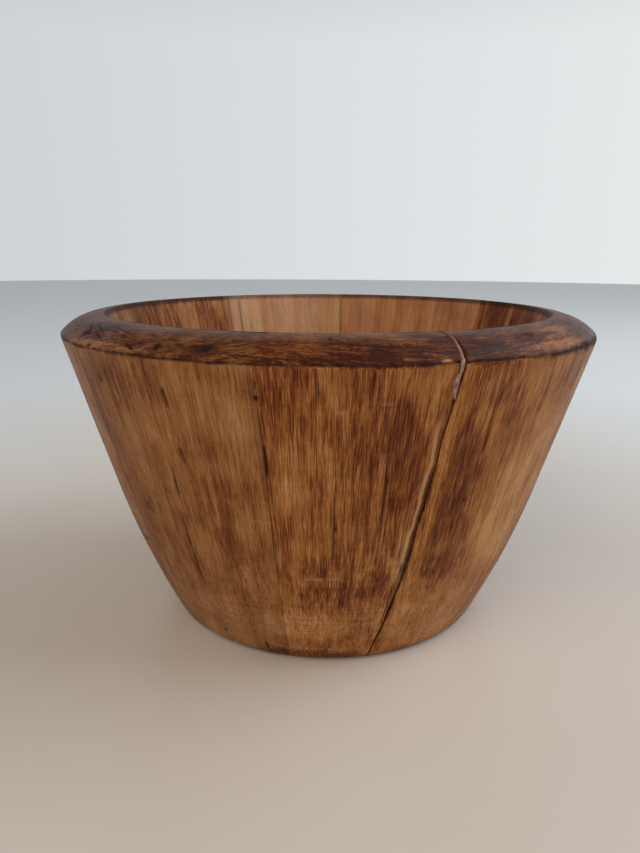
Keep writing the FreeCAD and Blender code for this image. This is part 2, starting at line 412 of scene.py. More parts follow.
# Shades: azimuth, half width in degrees, place, half height in millimetres, how much darker.
SHADES = [
    (-44, 9, below(122), 18, 0.14),
    (-36, 8, below(130), 10, 0.14),
    (-50, 3, below(90), 40, 0.1),
    (-21, 4, below(58), 14, 0.22),
    (-21, 6, below(80), 26, 0.12),
    (-14, 2.5, below(72), 30, 0.1),
    (-43, 4, below(71), 4, 0.25),
    (-36, 4, below(50), 10, 0.12),
    (-18, 7, below(120), 13, -0.2),
    (-6, 3.4, below(95), 14, -0.3),
    (-7, 3, below(45), 14, -0.15),
    (-32, 20, below(18), 18, -0.22),
    (-6, 4.5, below(128), 15, 0.32),
    (5, 8, below(124), 18, 0.24),
    (5, 5, below(78), 34, 0.08),
    (-2, 3.5, below(56), 6, 0.4),
    (4, 8, below(41), 7, 0.36),
    (14, 3.8, below(104), 22, 0.66),
    (13.5, 3.6, below(72), 26, 0.36),
    (12.5, 4.5, below(46), 12, 0.34),
    (28, 3.8, below(92), 30, 0.58),
    (24, 3.4, below(90), 32, 0.3),
    (29, 5.5, below(62), 14, 0.3),
    (30, 8.5, below(51), 8, 0.4),
    (41, 8, below(56), 15, -0.35),
    (22.5, 1.2, below(30), 5, -0.5),
    (29, 5, below(130), 10, 0.36),
    (34.5, 3, below(125), 14, 0.25),
    (-4, 12, below(22), 10, -0.42),
    (32, 16, below(22), 17, -0.32),
    (-4, 15, below(3), 4.5, 0.6),
    (-33, 17, below(1), 3, 0.5),
    (38, 18, below(8), 6, -0.2),
    (49, 11, below(74), 40, -0.42),
    (42, 3, below(66), 14, -0.2),
    (55, 9, below(130), 9, 0.15),
    (-57, 5, below(80), 50, -0.22),
    (-50, 14, 10, 6, 0.3),
    (-43, 17, 14, 6, 0.2),
    (-42, 12, 2.4, 2.0, -0.9),
    (-20, 10, 4.0, 4.0, 0.1),
    (-30, 14, 9.0, 3.0, -0.3),
    (-6, 5, 5.0, 3.0, -0.25),
    (5, 6, 10.0, 3.0, 0.3),
    (4, 5, 5.0, 2.4, -0.25),
    (6, 11, 2.4, 2.6, 0.6),
    (13.5, 6, 1.6, 2.2, 0.75),
    (14, 5.5, 6.0, 4.5, 0.7),
    (17, 4.5, 18.5, 3.5, 0.7),
    (28, 8, 4.4, 5.0, 1.25),
    (27, 9, 11, 5, 0.95),
    (40, 6, 10, 2.8, 0.9),
    (48, 10, 3.8, 2.4, -0.8),
    # Painted sheen: the lighter patch near the crest at the far right stands for the rim catching the light
    # there.
    (52, 10, 14, 3.6, -0.6),
    (62, 8, 10, 12, 0.5),
    (40, 16, 18, 4, 0.4),
    (60, 7, 14, 6, 0.5),
    (100, 9, 0, 200, 0.1),
]

# Pale scratches and turning lines: azimuth of each end, place, half height, strength.
SCRATCHES = [
    (-4, 4, below(49.5), 0.5, 1.0),
    (-17, -9.5, below(75.5), 0.4, 0.45),
    (8, 15, below(38.5), 0.4, 0.6),
    (9.5, 11.5, below(124.5), 0.45, 0.9),
    (2.2, 3.8, below(121), 0.55, 0.8),
    (18.6, 20.0, 1.4, 0.5, 0.9),
    (-17, 3, below(8.2), 0.5, 0.45),
    (14, 52, below(14), 0.6, 0.4),
    (-10, 10, below(24.5), 0.4, 0.2),
]

# The dark line that dirt has left along the arris: azimuth, strength, half width in millimetres.
ARRIS_LINE = [
    (-180, 0.6, 0.5), (-70, 0.85, 0.6), (-45, 1.0, 0.8), (-20, 1.0, 0.85), (-11, 0.9, 0.7), (-6, 0.7, 0.6),
    (4, 0.6, 0.5), (10, 0.85, 0.8), (13, 1.0, 1.1), (17, 0.85, 0.8), (19, 0.2, 0.3), (26, 0.35, 0.4),
    (34, 0.6, 0.6), (42, 1.0, 1.2), (60, 1.0, 1.9), (75, 0.9, 1.2), (110, 0.6, 0.5), (180, 0.6, 0.5),
]

# Shades inside: azimuth, half width in degrees, how much darker.
INSIDE_SHADES = [
    (100, 9, 0.35), (116, 7, 0.7), (132, 5, 0.1), (158, 1.6, -0.3), (150, 10, 0.14), (-176, 12, 0.1),
    (-134, 8, 0.2), (-113, 10, 0.4), (-95, 8, 0.3),
]

# Dark lines inside: azimuth, half width in degrees.
INSIDE_LINES = [
    (-143.3, 0.35), (-146.0, 0.2), (-147.2, 0.2), (-124.0, 0.3), (-115.0, 0.25), (176.2, 0.3), (163, 0.3),
    (141, 0.25),
]

# A stave's looks are one array per key. They run from 0 to about 1, or below 0 for a lighter shade.
LOOKS = ("shade", "mark", "pale", "dirt", "rim")
SCRATCH_END = 0.6
ARRIS_LINE_DEPTH = 0.2
KNOT_DEPTH = 0.35


def raise_to(looks, key, values):
    """Make one of the looks at least as strong as the values."""
    looks[key] = np.maximum(looks[key], values)


def outside_marks(azimuth, place, radius, seed):
    """The looks of the outside away from the joints, and under "cut" how deep the surface is cut."""
    looks = {key: np.zeros_like(azimuth) for key in (*LOOKS, "cut")}
    across = np.radians(1) * radius
    ragged = noise(seed, azimuth / 1.1, place / 9)
    for centre, half_width, middle, half_height, strength in SHADES:
        distance = np.hypot((azimuth - centre) / half_width, (place - middle) / half_height)
        looks["shade"] += strength * smooth(1.35, 0.55, distance + 0.14 * ragged)

    for top_azimuth, top, bottom_azimuth, bottom, width, depth in SPLITS:
        t = (place - bottom) / (top - bottom)
        line = bottom_azimuth + (top_azimuth - bottom_azimuth) * t
        slope = (bottom_azimuth - top_azimuth) * across / (bottom - top)
        wobble = 0.12 * noise(seed + 1, place / 2.2)
        distance = np.abs((azimuth - line) * across + wobble) / np.hypot(1, slope)
        here = smooth(-0.02, 0.25, t) * smooth(1.02, 0.75, t) * bell(distance, width / 2)
        raise_to(looks, "mark", here * min(1.0, 0.35 + depth))
        raise_to(looks, "cut", here * depth)

    for centre, middle, half_width, half_height, strength in KNOTS:
        distance = np.hypot((azimuth - centre) * across / half_width, (place - middle) / half_height)
        distance = distance + 0.35 * noise(seed + 2, azimuth * across / 0.9, place / 0.9)
        here = smooth(1.25, 0.35, distance)
        raise_to(looks, "mark", here * strength)
        raise_to(looks, "cut", here * strength * KNOT_DEPTH)

    azimuths, strengths, widths = zip(*ARRIS_LINE)
    wide = np.interp(azimuth, azimuths, widths) * (1 + 0.35 * noise(5, azimuth / 1.5))
    middle = 0.1 + 0.15 * noise(4, azimuth / 3)
    arris = bell(place - middle, wide) * np.clip(0.85 + 0.3 * noise(6, azimuth / 0.9), 0, 1)
    raise_to(looks, "mark", arris * np.interp(azimuth, azimuths, strengths))
    looks["cut"] += ARRIS_LINE_DEPTH * arris

    for start, end, middle, half_height, strength in SCRATCHES:
        rise = 0.6 * noise(seed + 3, azimuth / 4)
        here = smooth(start - SCRATCH_END, start + SCRATCH_END, azimuth)
        here = here * smooth(end + SCRATCH_END, end - SCRATCH_END, azimuth)
        here = here * bell(place - middle - rise, half_height)
        raise_to(looks, "pale", here * strength * (0.7 + 0.3 * noise(seed + 4, azimuth / 0.5)))
    return looks


def closed_edge(looks, joint, distance, place):
    """The thin, patchy line of a glued joint."""
    patchy = np.clip(0.55 + 0.5 * noise(int(joint * 10) % 997, place / 9), 0.1, 1)
    line = bell(distance, 0.22) * patchy
    raise_to(looks, "mark", 0.6 * line)
    looks["cut"] += 0.1 * line


def open_edge(looks, lip_width, distance, height, place, seed):
    """The worn lip of the open joint, and the dark fibres along it."""
    lip = np.clip(1 - distance / lip_width, 0, 1)
    looks["cut"] += LIP_DEPTH * lip**2
    open_here = smooth(0.2, 0.6, at_height(GROOVE_WIDTHS, height))
    broad_here = stretch(place, 40, 60, 90, 102)
    fray = (0.5 + 0.3 * noise(seed + 9, place / 3, distance / 0.4)) * (1 + broad_here)
    raise_to(looks, "mark", 0.5 * smooth(fray, 0.5 * fray - 0.3, distance) * open_here)


def dirty_edge(looks, distance, height, place, seed):
    """The old dirt that stops the gap on the left of the groove, partly painted shadow next to the groove,
    and the pale band of wood beside it, which is partly a painted highlight.
    """
    edge = at_height(DIRT_WIDTHS, height) * (1 + 0.15 * noise(seed + 6, place / 4, distance / 3))
    soft = 0.5 + 0.4 * stretch(place, 92, 104, 120, 126)
    inner = smooth(edge + soft, edge - soft, distance)
    faint = 1 - 0.45 * stretch(place, 92, 108, 121, 125)
    raise_to(looks, "dirt", inner * faint * smooth(RIM_LENGTH, 0.6 * RIM_LENGTH, place))
    looks["cut"] += DIRT_DEPTH * inner
    # The dark strands next to the groove are dirt and partly painted shadow.
    strands = np.clip(0.85 + 0.3 * noise(seed + 10, distance / 0.22, place / 6), 0, 1)
    strands = strands * stretch(place, 40, 60, 90, 102)
    raise_to(looks, "mark", 0.55 * smooth(1.15 * edge, 0.25 * edge, distance) * strands)

    # The pale band, also made lighter in shade below, is worn wood and partly a painted highlight where the
    # edge of the joint catches the light.
    width = PALE_BAND * (1 + 0.25 * noise(seed + 7, place / 6))
    band = smooth(edge + 0.1, edge + 0.7, distance) * smooth(edge + width, edge + 0.5 * width, distance)
    band = band * stretch(place, 40, 52, 106, 120)
    fade = 0.65 + 0.35 * smooth(below(70), below(95), place)
    streaky = np.clip(0.7 + 0.35 * noise(seed + 8, distance / 0.25, place / 7), 0, 1)
    raise_to(looks, "pale", 0.85 * band * fade * streaky)
    looks["shade"] -= 0.5 * band


def outside_looks(name, joints, distances, azimuth, place, seed):
    """All the looks of a stave's outside, with "cut". The distances are from each joint."""
    height = np.broadcast_to(OUTSIDE[:, 1], azimuth.shape)
    radius = np.broadcast_to(OUTSIDE[:, 0], azimuth.shape)
    looks = outside_marks(signed_azimuth(azimuth), place, radius, seed)
    for joint, distance in zip(joints, distances):
        if joint is not None:
            closed_edge(looks, joint, distance, place)
            continue
        open_edge(looks, LIP_WIDTHS[name], distance, height, place, seed)
        if name == "stave_front":
            dirty_edge(looks, distance, height, place, seed)

    uneven = 0.16 + 0.09 * noise(7, azimuth / 9, place / 28) + 0.03 * noise(8, azimuth / 2.5, place / 9)
    worn = np.clip(0.22 + 0.3 * noise(9, azimuth / 2.2, place / 5), 0, 1)
    worn = worn * smooth(WORN_REACH, 0, np.abs(place))
    chipped = CHIP_DEPTH * smooth(0.55, 1.2, noise(10, azimuth / 0.8, place / 1.5))
    chipped = chipped * smooth(CHIP_REACH, 0, np.abs(place - 0.3))
    looks["cut"] += uneven + worn + chipped
    raise_to(looks, "mark", 0.7 * chipped)
    looks["rim"] = smooth(-0.6, 0.9, place)
    return looks


def inside_looks(azimuth, distances, seed):
    """The looks of a stave's inside. The distances are from each joint."""
    height = np.broadcast_to(INSIDE[:, 1], azimuth.shape)
    looks = {key: np.zeros_like(azimuth) for key in LOOKS}
    ragged = noise(seed + 11, azimuth / 1.4, height / 30)
    for centre, half_width, strength in INSIDE_SHADES:
        distance = np.abs(azimuth - centre) / half_width + 0.08 * ragged
        looks["shade"] += strength * smooth(1.2, 0.7, distance)
    for centre, half_width in INSIDE_LINES:
        patchy = np.clip(0.6 + 0.5 * noise(seed + 12, height / 14), 0, 1)
        raise_to(looks, "mark", 0.5 * bell(azimuth - centre, half_width) * patchy)
    for distance in distances:
        raise_to(looks, "mark", 0.5 * bell(distance, 0.3))

    # The back stave is paler than the others, and the back right one a little, most of all higher up:
    # partly dried wood and partly a painted sheen.
    turn = azimuth % 360
    pale_and_sheen = smooth(174, 178, turn) * smooth(220, 214, turn)
    pale_and_sheen = np.maximum(pale_and_sheen, 0.4 * smooth(123, 125, turn) * smooth(178, 174, turn))
    looks["pale"] = pale_and_sheen * np.clip(0.8 + 0.25 * ragged, 0, 1) * (0.25 + 0.75 * smooth(70, 118, height))

    # The inner edge of the rim is darker.
    edge = smooth(RIM_HEIGHT - 3.2, RIM_HEIGHT - 1.0, height)
    looks["shade"] += 0.5 * edge
    raise_to(looks, "mark", 0.55 * edge)
    looks["rim"] = 0.6 * edge
    return looks


# --- stave meshes ---
# How much the growth rings lean, as a slope through the thickness for each stave.
RING_SLOPES = {"stave_front_left": 0.28, "stave_front": -0.12, "stave_front_right": 0.1, "stave_right": 0.2}
PLAIN_RING_SLOPE = 0.15

# An azimuth is turned into millimetres across the board at this radius.
GRAIN_RADIUS = 106.0


def points(azimuth, radius, height):
    """Points in millimetres from azimuths in degrees, radii and heights."""
    turn = np.radians(azimuth)
    return np.stack([radius * np.sin(turn), -radius * np.cos(turn), height * np.ones_like(turn)], -1)


def board_place(name, azimuth, radius, height):
    """Where points are in a stave's board, in millimetres: across it, along its grain and through it."""
    across = azimuth * math.radians(1) * GRAIN_RADIUS
    out, up = radius - ARRIS_RADIUS, height - ARRIS_HEIGHT
    along = out * WALL_UP[0] + up * WALL_UP[1]
    through = out * WALL_NORMAL[0] + up * WALL_NORMAL[1]
    through = through + RING_SLOPES.get(name, PLAIN_RING_SLOPE) * across
    return np.stack([across, along, through], -1)


def column_places(width, fine_places, coarse):
    """Fractions of a width for columns of vertices, close together near the places, in millimetres."""
    x = np.linspace(0, width, WIDTH_SAMPLES)
    spacing = np.full_like(x, coarse)
    for place in fine_places:
        spacing = np.minimum(spacing, FINE_SPACING + SPACING_GROWTH * np.abs(x - place))
    steps = np.concatenate([[0], np.cumsum(np.diff(x) / spacing[1:])])
    return np.interp(np.linspace(0, steps[-1], round(steps[-1]) + 1), steps, x) / width


def stave_columns(name, start, end, dirt_on_right):
    """Fractions of a stave's width for its columns, close together at its joints and its splits."""
    width = math.radians(end - start) * ARRIS_RADIUS
    fine = [0, width]
    if dirt_on_right:
        fine += [width - offset for offset in DIRT_COLUMNS]
    if name not in SEEN_STAVES:
        return column_places(width, fine, PLAIN_COLUMN_SPACING)
    azimuths = [split[end_of_split] for split in SPLITS for end_of_split in (0, 2)]
    fine += [math.radians(a - start) * ARRIS_RADIUS for a in azimuths if start < a < end]
    return column_places(width, fine, COLUMN_SPACING)


def mesh_object(name, vertices, faces, attributes):
    """A smooth-shaded object from arrays, with its vertices in millimetres and one attribute per name."""
    mesh = bpy.data.meshes.new(name)
    mesh.from_pydata((vertices * MM).tolist(), [], faces)
    for key, values in attributes.items():
        kind, field = ("FLOAT_VECTOR", "vector") if values.ndim == 2 else ("FLOAT", "value")
        layer = mesh.attributes.new(key, kind, "POINT")
        layer.data.foreach_set(field, values.astype(np.float32).ravel())
    mesh.shade_smooth()
    mesh.set_sharp_from_angle(angle=SHARP_ANGLE)
    made = bpy.data.objects.new(name, mesh)
    bpy.context.scene.collection.objects.link(made)
    return made


def gap_layers(name, start, side):
    """The open joint's face, as lines of points going in, each with its looks and board places."""
    for depth in GROOVE_LAYERS:
        share = depth / WALL_THICKNESS
        line = OUTSIDE * (1 - share) + INSIDE * share - LAYER_INSET * NORMALS * (1 - share)
        turn = open_joint_azimuth(line[:, 0], line[:, 1], depth, side)
        rough = 0.12 * noise(40 + side, line[:, 1] / 0.7, depth)
        values = {key: np.zeros(ROWS) for key in LOOKS}
        # The groove's walls are darker, the more so the deeper in: dirt in the gap and painted shade in the
        # recess.
        values["shade"] = np.full(ROWS, 0.5)
        values["mark"] = np.full(ROWS, min(1.0, 0.35 + 0.22 * depth))
        values["board"] = board_place(name, turn - start, line[:, 0], line[:, 1])
        yield points(turn, line[:, 0] + rough, np.clip(line[:, 1], 0, None)), values


def stave_mesh(name, left, right, seed):
    """A stave between two joints. Either joint is an azimuth, or None for the open joint."""
    left_out = joint_azimuth(left, OUTSIDE, 0, 1)
    right_out = joint_azimuth(right, OUTSIDE, 0, -1)
    left_in = joint_azimuth(left, INSIDE, GROOVE_DEPTH, 1)
    right_in = joint_azimuth(right, INSIDE, GROOVE_DEPTH, -1)
    start, end = float(left_out[ARRIS_ROW]), float(right_out[ARRIS_ROW])
    share = stave_columns(name, start, end, right is None)[:, None]

    # The outside, cut back by its marks and its unevenness.
    azimuth = left_out + share * (right_out - left_out)
    place = np.broadcast_to(ALONG, azimuth.shape)
    width = np.radians(right_out - left_out) * OUTSIDE[:, 0]
    looks = outside_looks(name, (left, right), (share * width, (1 - share) * width), azimuth, place, seed)
    cut = looks.pop("cut")
    low_crest = smooth(0.3 * RIM_LENGTH, RIM_LENGTH, place) * crest_drop(azimuth)
    radius = OUTSIDE[:, 0] - cut * NORMALS[:, 0]
    height = np.maximum(OUTSIDE[:, 1] - cut * NORMALS[:, 1] - low_crest, 0)

    # The inside. It is uneven only above the bottom disc.
    in_azimuth = left_in + share * (right_in - left_in)
    in_height = np.broadcast_to(INSIDE[:, 1], in_azimuth.shape)
    free = np.where(INSIDE[:, 1] > FLOOR_HEIGHT + 3, 1.0, 0.0)
    in_radius = INSIDE[:, 0] + free * (0.12 + 0.08 * noise(17, in_azimuth / 8, in_height / 25))
    in_height = in_height - free * smooth(RIM_HEIGHT - 8, RIM_HEIGHT, in_height) * crest_drop(in_azimuth)
    in_width = math.radians(end - start) * ARRIS_RADIUS * np.ones_like(in_azimuth)
    in_looks = inside_looks(signed_azimuth(in_azimuth), (share * in_width, (1 - share) * in_width), seed)

    def loop(outer, inner):
        """Values up the outside and back down the inside, for each column."""
        return np.concatenate([outer, inner[:, ::-1]], 1)

    azimuth, radius, height = loop(azimuth, in_azimuth), loop(radius, in_radius), loop(height, in_height)
    columns, around = azimuth.shape
    vertices = points(azimuth, radius, height).reshape(-1, 3)
    fields = {key: loop(looks[key], in_looks[key]).reshape(-1) for key in LOOKS}
    fields["board"] = board_place(name, azimuth - start, radius, height).reshape(-1, 3)
    faces = []
    for column in range(columns - 1):
        a, b = column * around, (column + 1) * around
        faces += [(a + k, b + k, b + (k + 1) % around, a + (k + 1) % around) for k in range(around)]

    # The faces against the neighbours. The open joint's has layers going in, where the gap closes.
    for column, joint, side in ((0, left, 1), (columns - 1, right, -1)):
        first = column * around
        layers = [range(first, first + ROWS)]
        if joint is None:
            for new, values in gap_layers(name, start, side):
                layers.append(range(len(vertices), len(vertices) + ROWS))
                vertices = np.concatenate([vertices, new])
                fields = {key: np.concatenate([fields[key], values[key]]) for key in fields}
        layers.append(range(first + around - 1, first + around - 1 - ROWS, -1))
        for near, far in zip(layers[:-1], layers[1:]):
            quads = [(near[k], near[k + 1], far[k + 1], far[k]) for k in range(ROWS - 1)]
            faces += quads if side == 1 else [quad[::-1] for quad in quads]
    return mesh_object("visual_" + name, vertices, faces, fields)


# --- the filler and the bottom disc ---
# The bead of filler: place along the outline, width, how proud it stands.
BEAD = [
    (below(124.5), 0.3, -0.2), (-10.5, 1.6, 0.1), (-7.5, 2.3, 0.2), (-3.5, 1.4, 0.15), (0.5, 1.3, 0.25),
    (7.0, 1.15, 0.25), (14.0, 0.9, 0.05), (22.0, 0.7, -0.2),
]

# Round the bead there are points at some angles, and two at its root, at shares of its width.
BEAD_ANGLES = 9
BEAD_OVERLAP = 0.35
BEAD_SHIFT = 0.1
BEAD_SUNK = 0.6
BEAD_ROOT_DEPTH = 2.5
BEAD_ROOT_SHARES = (0.7, 0.3)

CENTRE_RADIUS = 0.4
DISC_SPACING = 0.8
DISC_UNDER_SPACING = 2.0
DISC_COLUMNS = 160


def filler_mesh():
    """A lumpy bead along the left of the groove, from the crest over the rim and down to a point."""
    places, widths, heights = zip(*BEAD)
    rows = ALONG > places[0]
    line, along, normal = OUTSIDE[rows], ALONG[rows], NORMALS[rows]
    width = np.interp(along, places, widths) * (1 + 0.1 * noise(50, along / 1.5))
    proud = np.interp(along, places, heights) + 0.1 * noise(51, along / 1.3)
    left = open_joint_azimuth(line[:, 0], line[:, 1], 0, -1) - np.degrees(width / line[:, 0])

    def lengthwise(across, rise):
        """A line of points along the bead, at distances right of its left edge and above the surface."""
        turn = left + np.degrees(across / line[:, 0])
        return points(turn, line[:, 0] + rise * normal[:, 0], line[:, 1] + rise * normal[:, 1])

    lines = []
    for angle in np.linspace(0, math.pi, BEAD_ANGLES):
        across = (width + BEAD_OVERLAP) * (0.5 - 0.5 * math.cos(angle)) - BEAD_SHIFT
        rise = (proud + BEAD_SUNK) * math.sin(angle) - BEAD_SUNK
        lines.append(lengthwise(across, rise + 0.06 * noise(52, along / 0.6, angle * 2)))
    lines += [lengthwise(width * share, -BEAD_ROOT_DEPTH) for share in BEAD_ROOT_SHARES]
    rings = np.stack(lines, 1)
    rings[..., 2] = np.minimum(rings[..., 2], RIM_HEIGHT)
    count, around = rings.shape[:2]
    faces = []
    for ring in range(count - 1):
        a, b = ring * around, (ring + 1) * around
        faces += [(a + k, a + (k + 1) % around, b + (k + 1) % around, b + k) for k in range(around)]
    faces.append(tuple(range(around))[::-1])
    faces.append(tuple(range((count - 1) * around, count * around)))
    return mesh_object("visual_crack_filler", rings.reshape(-1, 3), faces, {})


def disc_mesh():
    """The bottom disc, with the rings that turning left on it. Flat faces close it at its centre."""
    top = np.concatenate([
        straight((CENTRE_RADIUS, FLOOR_HEIGHT), (COVE_CENTRE[0], FLOOR_HEIGHT), DISC_SPACING),
        curved(COVE_CENTRE, COVE_RADIUS, -math.pi / 2, DISC_EDGE_ANGLE, DISC_SPACING),
        COVE_EDGE[None],
    ])
    under = np.concatenate([
        straight((DISC_RADIUS, LEDGE_HEIGHT), (CENTRE_RADIUS, LEDGE_HEIGHT), DISC_UNDER_SPACING),
        np.array([[CENTRE_RADIUS, LEDGE_HEIGHT]]),
    ])
    outline = np.concatenate([top, under])
    count = len(outline)
    azimuth = np.linspace(0, 360, DISC_COLUMNS, endpoint=False)[:, None]
    radius = np.broadcast_to(outline[:, 0], (DISC_COLUMNS, count))
    on_top = np.arange(count) < len(top)
    turned = 0.12 + 0.06 * np.sin(radius * 2.1) + 0.04 * noise(61, radius / 5)
    height = outline[:, 1] - on_top * turned
    vertices = points(azimuth * np.ones_like(radius), radius, height).reshape(-1, 3)
    faces = []
    for column in range(DISC_COLUMNS):
        a, b = column * count, (column + 1) % DISC_COLUMNS * count
        faces += [(a + k, b + k, b + k + 1, a + k + 1) for k in range(count - 1)]
    faces.append(tuple(column * count for column in range(DISC_COLUMNS))[::-1])
    faces.append(tuple(column * count + count - 1 for column in range(DISC_COLUMNS)))
    fields = {key: np.zeros(len(vertices)) for key in ("shade", "mark", "pale", "rim")}
    fields["shade"] += 0.1
    outwards = np.hypot(vertices[:, 0], vertices[:, 1])
    fields["mark"] = 0.5 * smooth(DISC_RADIUS - 1.2, DISC_RADIUS, outwards)
    fields["board"] = vertices
    return mesh_object("visual_base_disc", vertices, faces, fields)


# --- materials ---
def colour(red, green, blue):
    """A colour from 0 to 255 as the eye sees it, for a shader's socket."""
    def linear(value):
        value /= 255
        return value / 12.92 if value <= 0.04045 else ((value + 0.055) / 1.055) ** 2.4

    return (linear(red), linear(green), linear(blue), 1.0)


class Nodes:
    """Short ways to add shader nodes. A value is a constant or another node's output."""

    def __init__(self, owner):
        """The owner is a new material or world."""
        owner.use_nodes = True
        self.owner = owner
        self.tree = owner.node_tree
        self.tree.nodes.clear()

    def add(self, kind, inputs=(), **settings):
        """A node of a kind, with its settings and its inputs."""
        node = self.tree.nodes.new("ShaderNode" + kind)
        for key, value in settings.items():
            setattr(node, key, value)
        for key, value in dict(inputs).items():
            self.set(node.inputs[key], value)
        return node

    def set(self, socket, value):
        if isinstance(value, bpy.types.NodeSocket):
            self.tree.links.new(value, socket)
        else:
            socket.default_value = value

    def math(self, operation, *values):
        node = self.add("Math", operation=operation)
        for socket, value in zip(node.inputs, values):
            self.set(socket, value)
        return node.outputs[0]

    def plus(self, value, term, factor):
        """The value with a term times a factor added to it."""
        return self.math("MULTIPLY_ADD", term, factor, value)

    def sway(self, value, texture, amount):
        """The value moved up and down by a texture, which is around 0.5."""
        return self.plus(value, self.math("SUBTRACT", texture, 0.5), amount)

    def rise(self, value, low, high, **settings):
        """0 where the value is low and 1 where it is high."""
        inputs = {"Value": value, "From Min": low, "From Max": high}
        return self.add("MapRange", inputs, **settings).outputs[0]

    def attribute(self, name, output="Fac"):
        return self.add("Attribute", attribute_name=name).outputs[output]

    def noise(self, vector, scale, detail, roughness, distortion=0.0, offset=(0, 0, 0)):
        """Noise on a vector that is first scaled and shifted."""
        mapped = self.add("Mapping", {"Vector": vector, "Location": offset, "Scale": scale}).outputs[0]
        inputs = {"Vector": mapped, "Scale": 1.0, "Detail": detail, "Roughness": roughness}
        return self.add("TexNoise", {**inputs, "Distortion": distortion}).outputs["Fac"]

    def ramp(self, value, stops):
        node = self.add("ValToRGB", {"Fac": value})
        elements = node.color_ramp.elements
        while len(elements) < len(stops):
            elements.new(0.5)
        for element, (position, shade) in zip(elements, stops):
            element.position = position
            element.color = shade
        return node.outputs["Color"]

    def mix(self, share, first, second, blend="MIX"):
        node = self.add("Mix", data_type="RGBA", blend_type=blend)
        self.set(node.inputs["Factor"], share)
        self.set(node.inputs["A"], first)
        self.set(node.inputs["B"], second)
        return node.outputs["Result"]

    def finish(self, shader, output="OutputMaterial"):
        self.set(self.add(output).inputs["Surface"], shader.outputs[0])
        return self.owner


# The wood's colours from its lightest grain to its darkest.
GRAIN_COLOURS = [
    (0.0, colour(200, 144, 98)),
    (0.25, colour(173, 114, 63)),
    (0.45, colour(146, 88, 43)),
    (0.65, colour(119, 60, 23)),
    (0.85, colour(94, 42, 12)),
    (1.0, colour(67, 28, 6)),
]
RIM_TINT = colour(212, 201, 186)
PORE_COLOUR = colour(76, 38, 20)
HAIR_COLOUR = colour(52, 25, 13)
# The pale colour is dried and worn wood and scratches, and also painted sheen inside and painted highlight
# beside the open joint.
PALE_AND_SHEEN_COLOUR = colour(189, 153, 120)
DIRT_COLOURS = (colour(38, 24, 14), colour(108, 80, 56))
MARK_COLOUR = colour(38, 19, 11)

# The wood's textures. Each has the size of its features in millimetres, across the board, along its grain
# and through it, and then the noise's detail, roughness and distortion.
TEXTURES = {
    "broad": ((6.0, 75, 6.0), 2, 0.5, 0.0),
    "medium": ((1.7, 40, 1.7), 3, 0.6, 0.2),
    "fibre": ((0.34, 9.0, 0.34), 2, 0.6, 0.2),
    "clouds": ((14, 19, 14), 4, 0.62, 0.0),
    "pores": ((0.38, 4.4, 0.38), 1, 0.5, 0.0),
    "hairs": ((0.55, 26, 0.55), 1, 0.5, 0.1),
    "rings": ((22, 60, 1.3), 4, 0.6, 0.6),
    "turned": ((26, 0.8, 26), 2, 0.6, 0.0),
    "hatch": ((3.4, 0.7, 0.42), 3, 0.7, 0.5),
}

# How much each texture moves the stain, and the grain's place between the lightest and the darkest.
STAIN_FIBRE, STAIN_MEDIUM, STAIN_CLOUDS = 0.6, 1.15, 0.7
STAIN_FULL = 0.72
GRAIN_LEVEL = 0.37
GRAIN_BROAD, GRAIN_MEDIUM, GRAIN_CLOUDS = 0.4, 0.55, 0.6
GRAIN_STAIN = 0.33
RIM_RINGS, RIM_HATCH, RIM_DARKER = 1.5, 2.1, 0.24

# The turning lines grow stronger from the first of these places along the grain to the second.
FOOT_LINES = (-70, -115)
SPECULAR_LEVEL = 0.13


